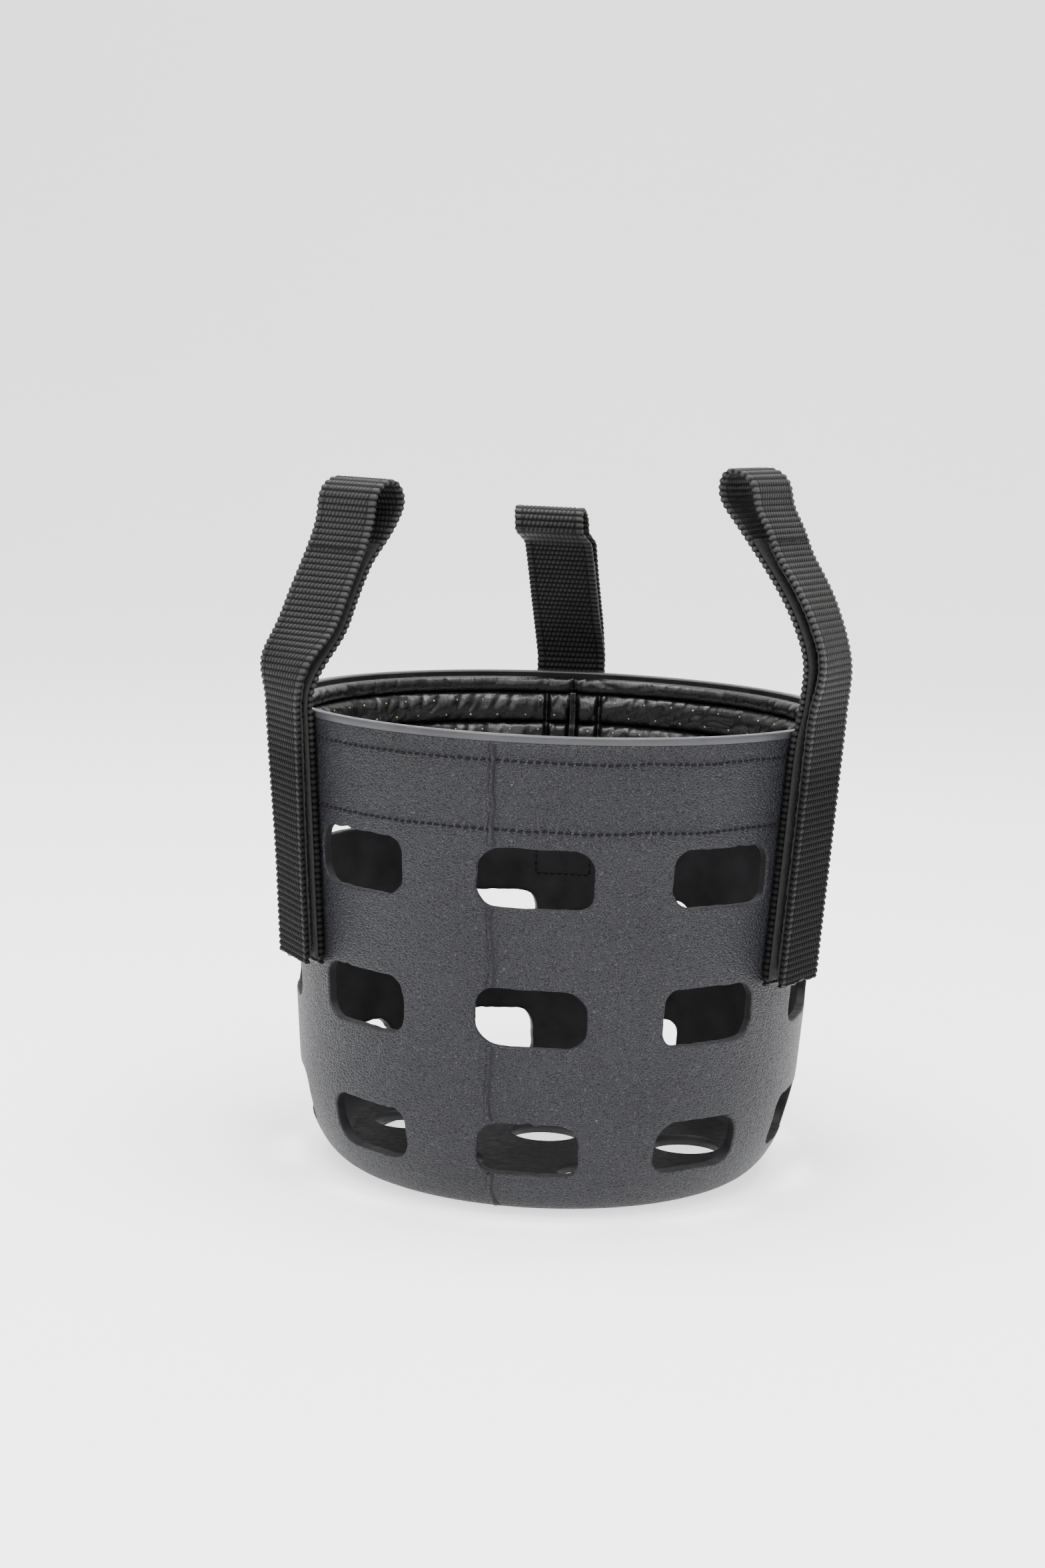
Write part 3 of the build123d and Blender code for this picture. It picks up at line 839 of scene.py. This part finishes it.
def lining_cover():
    distance = lining_columns()
    rows, flows = [], []

    def add_row(rib, depth, height, run):
        depth, height = np.broadcast_arrays(depth, height + 0 * distance)
        rows.append(placed(inner_radius(height) - depth, lining_azimuth(distance, rib), height))
        flows.append(np.stack([distance, np.full_like(distance, run), 0 * distance], axis=-1))

    gap = 0.04 * MM
    top = RIBS["roll"][1]
    add_row("lower", gap, LINING_LIP, 0)
    add_row("lower", VALLEY_DEPTH / 2, LINING_LIP - 0.1 * MM, 1 * MM)
    add_row("lower", VALLEY_DEPTH * 0.8, (LINING_LIP + RIBS["lower"][0]) / 2, 2.5 * MM)
    run = 3 * MM
    for rib in RIBS:
        levels = rib_steps(23 if rib != "roll" else 17)
        for t in levels if rib == "lower" else levels[1:]:
            depth, height = rib_depth(rib, distance, t)
            run += 0.9 * MM
            add_row(rib, depth, height, run)
    add_row("roll", gap, top, run + 2 * MM)
    points, flow = np.array(rows), np.array(flows)
    faces = lining_solid_faces(*points.shape[:2])
    piece = make_piece("lining_cover_padded", points, faces, [VINYL], flow=flow.reshape(-1, 3))
    finish_piece(piece, "bucket", "lining_vinyl", "lining_cover")


def foam_core(rib, node_name):
    """The foam inside one rib, a little smaller than its cover."""
    distance = lining_columns()[::3]
    rows = []
    for t in rib_steps(11):
        depth, height = rib_depth(rib, distance, t * 0.86, COVER)
        rows.append(placed(inner_radius(height) - depth, lining_azimuth(distance, rib), height))
    low, high = rows[0], rows[-1]
    for end, row in ((len(rows), high), (0, low)):
        height = row[:, 2]
        back = placed(inner_radius(height) - COVER, lining_azimuth(distance, rib), height)
        rows.insert(end, back)
    points = np.array(rows)
    piece = make_piece(f"foam_core_{rib}", points, lining_solid_faces(*points.shape[:2]), [FOAM])
    finish_piece(piece, "bucket", "foam", node_name)


def lining_dots():
    """Pinholes through the cover where the cream foam shows."""
    points, faces = [], []
    rings, sides = 4, 9
    lift = np.array([0.9, 0.75, 0.35, -0.6])
    reach = np.array([0.15, 0.6, 1.0, 1.05])
    turn = np.arange(sides) * 2 * math.pi / sides
    rows = [("lower", -0.5), ("lower", 0.5), ("upper", -0.5), ("upper", 0.5)]
    for row, (rib, t) in enumerate(rows):
        for k in range(int(LINING_SPAN / DOT_PITCH)):
            distance = (k + 0.55 + 0.5 * (row % 2)) * DOT_PITCH + rng.normal(0, 0.5 * MM)
            from_end = min(distance, LINING_SPAN - distance)
            if abs(from_end - PANEL_SEAM) < 1.6 * MM or from_end < 1.5 * MM:
                continue
            here, up, aside = (surface_point(rib, distance + da, t + dt)
                               for da, dt in ((0, 0), (0, 0.06), (0.5 * MM, 0)))
            along = (aside - here) / np.linalg.norm(aside - here)
            rise = (up - here) / np.linalg.norm(up - here)
            out = np.cross(rise, along)
            if out @ placed(1.0, lining_azimuth(distance, rib), 0.0) > 0:
                out = -out
            size = DOT_RADIUS * rng.uniform(0.8, 1.15)
            start = len(points) * rings * sides
            points.append([here + out * (lift[i] * 0.25 * MM) + size * reach[i] *
                           (along * math.cos(a) + rise * math.sin(a)) for i in range(rings) for a in turn])
            faces.extend(tube_faces(rings, sides, start))
    piece = make_piece("lining_pinholes", points, faces, [FOAM])
    finish_piece(piece, "bucket", "foam")


def surface_point(rib, distance, t):
    depth, height = rib_depth(rib, np.array([distance]), np.array([t]))
    return placed(inner_radius(height) - depth, lining_azimuth(distance, rib), height)[0]


def lining_piping():
    """The folded strip that binds the lining's two ends: two welts with a groove between."""
    low, high = LINING_LIP + 0.2 * MM, RIBS["upper"][1] + 0.4 * MM
    heights = np.linspace(low, high, 70)
    valley = RIBS["upper"][0]
    depth = 8.0 * MM - 0.9 * MM * peak(heights - valley, 1.5 * MM)
    depth = (depth - 0.7 * MM * ((heights - low) / (high - low)) ** 8
             + 0.12 * MM * wavering(heights, 1.7 * MM, 33))
    half = 1.55 * MM
    across = np.array([-1, -1, -0.92, -0.7, -0.42, -0.16, 0, 0.16, 0.42, 0.7, 0.92, 1, 1]) * half
    proud = np.array([-7.6, -1.4, -0.45, 0, -0.02, -0.35, -0.6, -0.35, -0.02, 0, -0.45, -1.4, -7.6]) * MM
    drift = 0.25 * MM * wavering(heights, 9 * MM, 34)
    grid = np.stack([placed(inner_radius(heights) - np.maximum(depth + out, 0.05 * MM), JOINT_AZIMUTH,
                            heights, -side + drift) for side, out in zip(across, proud)], axis=1)
    count = len(across)
    flow = np.stack([np.tile(across, len(heights)), np.repeat(heights, count),
                     np.zeros(len(heights) * count)], axis=-1)
    piece = make_piece("lining_binding", grid, tube_faces(len(heights), count), [VINYL], flow=flow)
    finish_piece(piece, "bucket", "lining_vinyl", "lining_piping")


def lining_stitching():
    """Thread down in the valleys between the ribs and beside the joint."""
    for name, height in (("roll", RIBS["roll"][0]), ("middle", RIBS["upper"][0])):
        radius = float(inner_radius(height)) - VALLEY_DEPTH
        row = ring_stitches(f"lining_stitches_{name}", radius, height, -1, 3.1 * MM, 0.15 * MM)
        finish_piece(row, "bucket", "thread")


# ---------------------------------------------------------------- strap centre lines
def smooth_through(points, samples=40):
    """A natural cubic spline through points, sampled between each pair."""
    knots = np.array(points, float)
    lengths = np.linalg.norm(np.diff(knots, axis=0), axis=1)
    size = len(knots)
    system = np.eye(size)
    target = np.zeros_like(knots)
    for i in range(1, size - 1):
        before, after = lengths[i - 1], lengths[i]
        system[i, i - 1:i + 2] = before, 2 * (before + after), after
        target[i] = 6 * ((knots[i + 1] - knots[i]) / after - (knots[i] - knots[i - 1]) / before)
    bend = np.linalg.solve(system, target)
    line = []
    for i in range(size - 1):
        span = lengths[i]
        a = np.linspace(1, 0, samples, endpoint=False)[:, None]
        b = 1 - a
        line.append(a * knots[i] + b * knots[i + 1]
                    + ((a ** 3 - a) * bend[i] + (b ** 3 - b) * bend[i + 1]) * span ** 2 / 6)
    return np.concatenate(line + [knots[-1:]])


def evenly(line, step):
    travelled = np.concatenate([[0], np.cumsum(np.linalg.norm(np.diff(line, axis=0), axis=1))])
    marks = np.arange(0, travelled[-1], step)
    return np.stack([np.interp(marks, travelled, line[:, k]) for k in range(2)], axis=-1)


def right_side(way):
    """The side of a strap's path on which its tapes lie, for a direction in radius and height."""
    return np.stack([way[..., 1], -way[..., 0]], axis=-1)


def nearest(line, point):
    return int(np.argmin(np.linalg.norm(line - np.array(point), axis=1)))


def leg_point(height, offset):
    return np.array([RIM_RADIUS - (HEIGHT - height) * TAPER + offset, height])


def strap_line(spec):
    """Centre line of a strap from its sewn foot, over the fold and down to the flap's end."""
    near = WEB / 2 + CLEAR_OF_WALL
    far = near + spec["gap"] * MM
    in_foot, in_rim = leg_point(STRAP_FOOT, near), leg_point(RIM_HINGE, near)
    out_foot, out_rim = leg_point(STRAP_FOOT, far), leg_point(RIM_HINGE, far)
    up = (in_rim - in_foot) / np.linalg.norm(in_rim - in_foot)
    inner = [np.array([r, z]) * MM for r, z, _ in spec["inner"]]
    ends = [in_rim] + inner + [2 * inner[-1] - inner[-2]]
    outer = []
    for i, (_, _, gap) in enumerate(spec["inner"]):
        way = ends[i + 2] - ends[i]
        outer.append(inner[i] + right_side(way / np.linalg.norm(way)) * gap * MM)
    fold = spec["inner"][-1][2] / 2 * MM
    over = (outer[-1] - inner[-1]) / np.linalg.norm(outer[-1] - inner[-1])
    crown = (inner[-1] + outer[-1]) / 2 - right_side(over) * fold
    run = [20 * MM, 10 * MM]
    knots = ([in_rim - up * k for k in run] + [in_rim] + inner + [crown] + outer[::-1] + [out_rim]
             + [out_rim - up * k for k in reversed(run)])
    curve = smooth_through(knots)
    curve = curve[nearest(curve, in_rim):nearest(curve, out_rim) + 1]
    line = evenly(np.concatenate([[in_foot], curve, [out_foot]]), STEP)
    way = np.gradient(line, axis=0)
    way /= np.linalg.norm(way, axis=1, keepdims=True)
    half = len(line) // 2
    legs = [in_rim] + inner, [out_rim] + outer
    return {"points": line, "side": right_side(way), "azimuth": spec["azimuth"],
            **{key: spec[key] for key in ("lean", "twist", "flare", "away", "puff", "roll", "press")},
            "middle": smooth_through([(a + b) / 2 for a, b in zip(*legs)]), "top": float(line[:, 1].max()),
            "rim_in": nearest(line[:half], in_rim), "crown": int(np.argmax(line[:, 1])),
            "peel": half + nearest(line[half:], outer[spec["peel"]]),
            "rim_out": half + nearest(line[half:], out_rim)}


def eased(value, start, end):
    """Smoothly from 0 at start to 1 at end."""
    share = np.clip((value - start) / (end - start), 0, 1)
    return share * share * (3 - 2 * share)


def strap_points(line, index, off, across):
    """Points beside a strap's line: off towards the tapes, and across its width.

    Above the rim a strap leans sideways, twists about the middle of its two legs, and may roll
    its fold towards the bucket's axis. Its hanging flap already flares a little below the rim.
    """
    place = line["points"][index] + line["side"][index] * off[..., None]
    radius, height = place[..., 0], place[..., 1]
    outer_leg = np.asarray(index) > line["crown"]
    rise = eased(height, HEIGHT, HEIGHT + TWIST_RISE)
    low_twist, top_twist = line["twist"]
    twist = low_twist + (top_twist - low_twist) * eased(height, TOP_TWIST_FROM, line["top"] - 8 * MM)
    hang = eased(height, FLARE_FROM, HEIGHT)
    early = line["flare"] * np.where(outer_leg, hang, rise)
    turn = np.radians(early + (twist - line["flare"]) * rise)
    middle = np.interp(height, line["middle"][:, 1], line["middle"][:, 0])
    radius, aside = (middle + (radius - middle) * np.cos(turn) - across * np.sin(turn),
                     (radius - middle) * np.sin(turn) + across * np.cos(turn))
    curl = line["roll"] * eased(height, line["top"] - FOLD_HEIGHT, line["top"] - 9 * MM)
    inner_share = eased(-np.asarray(index, float), -(line["crown"] + CROWN_STEPS),
                        -(line["crown"] - CROWN_STEPS))
    puff_in, puff_out = line["puff"]
    puff = puff_out * (1 - inner_share) - puff_in * inner_share
    puff = puff * eased(height, line["top"] - PUFF_HEIGHT, line["top"] - FOLD_HEIGHT)
    away = line["away"] * hang * (1 - eased(height, *AWAY_UNTIL)) * outer_leg
    pressed = line["press"] * peak(height - PRESS_HEIGHT, PRESS_REACH) * ~outer_leg
    lean = line["lean"] * np.clip((height - RIM_HINGE) / (line["top"] - RIM_HINGE), 0, 1)
    return placed(radius - curl + pressed + away + puff, line["azimuth"], height, aside + lean + 0.35 * curl)


def strap_mark(line, index):
    return Vector(strap_points(line, index, np.array(0.0), 0.0))


# ---------------------------------------------------------------- webbing and tapes
def weave_height(across, run):
    """Share of the yarn's height at a place on the webbing, from 0 in a hollow to 1 on a crest."""
    rib = np.floor(run / RIB_PITCH + 0.5)
    within = run / RIB_PITCH - rib
    hump = np.clip(np.cos(math.pi * within), 0, 1) ** 0.9
    slanted = across + 0.35 * within * RIB_PITCH
    grain = 0.5 + 0.5 * np.cos(2 * math.pi * (slanted / GRAIN_PITCH + 0.5 * (rib % 2)))
    body = hump * (0.3 + 0.7 * grain)
    past_face = np.abs(across) - (WEB_WIDTH / 2 - SELVEDGE)
    edge = np.clip(past_face / (0.5 * MM), 0, 1)
    groove = peak(past_face, 0.35 * MM)
    return (body * (1 - edge) + 0.85 * hump * edge) * (1 - 0.6 * groove)


def webbing_section():
    """A webbing cross-section as (across, side): woven faces, and rounded selvedges between them."""
    face = np.linspace(-1, 1, 65)
    back = np.linspace(1, -1, 49)
    half = WEB_WIDTH / 2 - WEAVE_DEPTH
    turn = np.radians([60, 30, 0, -30, -60])
    round_edge = half + WEAVE_DEPTH * np.cos(turn)
    across = np.concatenate([face * half, round_edge, back * half, -round_edge])
    side = np.concatenate([np.full(len(face), -1.0), -np.sin(turn), np.full(len(back), 1.0), np.sin(turn)])
    return across, side


def webbing(name, line, first, last):
    """A stretch of woven strap, closed at both ends."""
    across, side = webbing_section()
    index = np.arange(first, last + 1)[:, None]
    run = index * STEP
    height = weave_height(across[None, :], run)
    off = side * (WEB / 2 - WEAVE_DEPTH * (1 - height))
    breathe = 1 + 0.012 * np.cos(2 * math.pi * run / RIB_PITCH) + 0.006 * wavering(run, 14 * MM, 12)
    wide = across[None, :] * breathe
    points = strap_points(line, index, off, wide)
    flow = np.stack([wide, np.broadcast_to(run, wide.shape), height], axis=-1)
    return make_piece(name, points, tube_faces(len(index), len(across)), [WEBBING], flow=flow.reshape(-1, 3))


def at_hollow(index):
    """The nearest step that lies in a hollow between two ribs, where pieces can meet unseen."""
    return int(index // STEPS_PER_RIB) * STEPS_PER_RIB + STEPS_PER_RIB // 2


def tape(name, line, first, last, thick, rough, material, seed):
    """The backing of a hook or loop tape on the strap's tape side, with an uneven nap."""
    columns = 41
    face = np.linspace(-1, 1, columns) * TAPE_WIDTH / 2
    across = np.concatenate([face, face[::-1]])
    index = np.arange(first, last + 1)[:, None]
    run = index * STEP
    nap = thick - rough * (0.5 + 0.5 * lattice_noise(run / (0.7 * MM), face[None, :] / (0.7 * MM), seed))
    low = np.full(nap.shape, 0.02 * MM)
    nap[:, [0, -1]] = thick * 0.35
    off = WEB / 2 + np.concatenate([low, nap[:, ::-1]], axis=1)
    points = strap_points(line, index, off, across[None, :])
    return make_piece(name, points, tube_faces(len(index), len(across)), [material])


def steps(length):
    return int(round(length / STEP))


def hook_top(line):
    """Where the hook tape ends on the inner leg: level with the peel hinge."""
    return nearest(line["points"][:line["crown"]], line["points"][line["peel"]])


def strap(name, spec):
    line = strap_line(spec)
    loop, flap, end = f"{name}_strap", f"{name}_flap", f"{name}_flap_end"
    crown = at_hollow(line["crown"])
    mid_flap = at_hollow((line["peel"] + line["rim_out"]) // 2)
    last = len(line["points"]) - 1
    reach = steps(BEND_REACH)
    rim_bend = [strap_mark(line, line["rim_in"] + k) for k in (-reach, reach)]
    end_bend = [strap_mark(line, line["rim_out"] + k) for k in (-reach, reach)]
    peel_bend = [strap_mark(line, line["peel"] + k) for k in (-steps(PEEL_ABOVE), steps(PEEL_BELOW))]

    for part, first, final, replaced, bodies, bend in (
            ("leg", 0, crown, ("sewn", "loop"), ("bucket", loop), rim_bend),
            ("fold", crown, mid_flap, ("flap",), (loop, flap), peel_bend),
            ("tail", mid_flap, last, ("end",), (flap, end), end_bend)):
        piece = webbing(f"{name}_webbing_{part}", line, first, final)
        finish_bending(piece, "webbing", [f"{name}_webbing_{node_end}" for node_end in replaced])

    hooks = tape(f"{name}_hook_strip", line, steps(2 * MM), hook_top(line), HOOK_TAPE, 0.35 * MM, HOOKS, 3)
    finish_bending(hooks, "hook_tape", [f"{name}_hook_tape_lower", f"{name}_hook_tape_upper"])
    pile = tape(f"{name}_loop_strip", line, line["peel"] + steps(4 * MM), last - steps(2 * MM), LOOP_TAPE,
                0.55 * MM, PILE, 4)
    finish_bending(pile, "loop_tape", [f"{name}_loop_tape_upper", f"{name}_loop_tape_lower"])
    flap_stitches(name, line, flap)
    box_stitches(name, line)
    melted_edge(f"{name}_cut_edge_sewn", line, 0, "bucket")
    melted_edge(f"{name}_cut_edge_flap", line, last, end)


def flap_stitches(name, line, body):
    """The row of thread across the flap that holds the top of the loop tape."""
    index = line["peel"] + steps(5.5 * MM)
    across = np.arange(-12, 12.1, 2.4) * MM
    centres = strap_points(line, np.full(len(across), index), np.full(len(across), -WEB / 2), across)
    face = np.array(-WEB / 2)
    here = strap_points(line, index, face, 0.0)
    ahead = strap_points(line, index, face - MM, 0.0) - here
    outward = np.tile(ahead / np.linalg.norm(ahead), (len(across), 1))
    along = np.tile(strap_points(line, index, face, MM) - here, (len(across), 1))
    row = stitch_row(f"{name}_flap_stitches", centres, along, outward, 2.1 * MM, 0.7 * MM)
    finish_piece(row, body, "thread", f"{name}_tape_stitch")


def box_stitches(name, line):
    """The sewn rectangle that shows on the bucket's inner face."""
    pitch = STITCH_PITCH
    half = BOX_STITCH_WIDTH / 2
    sides = []
    for side in (-half, half):
        for z in np.arange(BOX_STITCH_BOTTOM, BOX_STITCH_TOP, pitch):
            sides.append((side, z + pitch / 2, 0.0, 1.0))
    for z in (BOX_STITCH_BOTTOM, BOX_STITCH_TOP):
        for side in np.arange(-half + pitch / 2, half, pitch):
            sides.append((side, z, 1.0, 0.0))
    across, height, sideways, upward = np.array(sides).T
    radius = inner_radius(height)
    azimuth = line["azimuth"] + np.degrees(across / radius)
    centres = placed(radius, azimuth, height)
    inward = -placed(1.0, azimuth, 0.0)
    along = placed(0.0, azimuth, upward, sideways)
    row = stitch_row(f"{name}_box_stitches", centres, along, inward, pitch * 0.86, 0.75 * MM)
    finish_piece(row, "bucket", "thread", f"{name}_box_stitch")


def melted_edge(name, line, index, body):
    """The fused bead along a cut end of the webbing."""
    way = -1 if index == 0 else 1
    columns, sides = 61, 10
    across = np.linspace(-1, 1, columns) * (WEB_WIDTH / 2 - 0.4 * MM)
    turn = np.arange(sides) * 2 * math.pi / sides
    size = 0.85 * MM + 0.3 * MM * wavering(across, 1.6 * MM, abs(index) + 3)
    ragged = 0.5 * MM * wavering(across, 2.3 * MM, abs(index) + 8)
    place, side = line["points"][index], line["side"][index]
    onward = np.array([-side[1], side[0]]) * way
    flat = place + onward * (ragged[:, None, None] + size[:, None, None] * 0.6 * np.sin(turn)[None, :, None])
    flat = flat + side * (size[:, None, None] * 1.15 * np.cos(turn)[None, :, None])
    grid = placed(flat[..., 0], line["azimuth"], flat[..., 1], across[:, None])
    finish_piece(make_piece(name, grid, tube_faces(columns, sides), [MELTED]), body, "webbing")


# ---------------------------------------------------------------- studio
def stage():
    """A white floor that curves up into a backdrop far behind."""
    reach, turn, tall = 2.2, 0.8, 2.6
    line = [(-reach, 0.0), (reach, 0.0)]
    line += [(reach + turn * math.sin(a), turn * (1 - math.cos(a))) for a in np.linspace(0.1, math.pi / 2, 16)]
    line.append((reach + turn, tall))
    grid = np.array([[(x, y, z) for x in (-3.2, 3.2)] for y, z in line])
    floor = make_piece("studio_floor", grid, grid_faces(len(line), 2), [WHITE])


def softbox(name, place, target, size, watts):
    light = bpy.data.lights.new(name, "AREA")
    light.shape = "RECTANGLE"
    light.size, light.size_y = size
    light.energy = watts
    lamp = bpy.data.objects.new(name, light)
    lamp.location = place
    lamp.rotation_euler = (Vector(target) - Vector(place)).to_track_quat("-Z", "Y").to_euler()
    bpy.context.scene.collection.objects.link(lamp)


def lights():
    world = bpy.data.worlds.new("studio")
    world.use_nodes = True
    tree = world.node_tree
    upward = upright(tree, node(tree, "TexCoord").outputs["Generated"])
    sky = ramp(tree, upward, [(0.0, 0.13), (0.35, 0.42), (0.8, 1.0)])
    tree.links.new(sky, tree.nodes["Background"].inputs["Color"])
    tree.nodes["Background"].inputs["Strength"].default_value = 2.1
    bpy.context.scene.world = world
    softbox("overhead", (0, -0.2, 1.7), (0, 0, 0.1), (1.6, 1.4), 85)
    softbox("front_left", (-0.6, -1.7, 1.2), (0, 0, 0.14), (0.9, 0.9), 13)
    softbox("front_right", (0.8, -1.6, 1.0), (0, 0, 0.14), (0.9, 0.9), 10)


def camera():
    """At the height of a person looking across at the bucket, slightly from its right."""
    place = Vector((0.0789, -1.1644, 0.330))
    target = Vector((-0.0146, -0.0010, 0.15508))
    roll = 0.0356
    lens_per_sensor = 1.8363
    back = (place - target).normalized()
    right = Vector((0, 0, 1)).cross(back).normalized()
    up = back.cross(right)
    across = right * math.cos(roll) + up * math.sin(roll)
    upward = up * math.cos(roll) - right * math.sin(roll)
    data = bpy.data.cameras.new("camera")
    data.sensor_fit = "VERTICAL"
    data.sensor_height = 36.0
    data.lens = 36.0 * lens_per_sensor
    lens = bpy.data.objects.new("camera", data)
    lens.matrix_world = Matrix.Translation(place) @ Matrix((across, upward, back)).transposed().to_4x4()
    bpy.context.scene.collection.objects.link(lens)
    bpy.context.scene.camera = lens


camera()
lights()
stage()
bucket_shell()
rim_stitching()
lining_cover()
for rib, foam_node in (("roll", "foam_roll"), ("upper", "foam_strip_upper"), ("lower", "foam_strip_lower")):
    foam_core(rib, foam_node)
lining_piping()
lining_dots()
lining_stitching()
for strap_name, strap_spec in STRAPS.items():
    strap(strap_name, strap_spec)
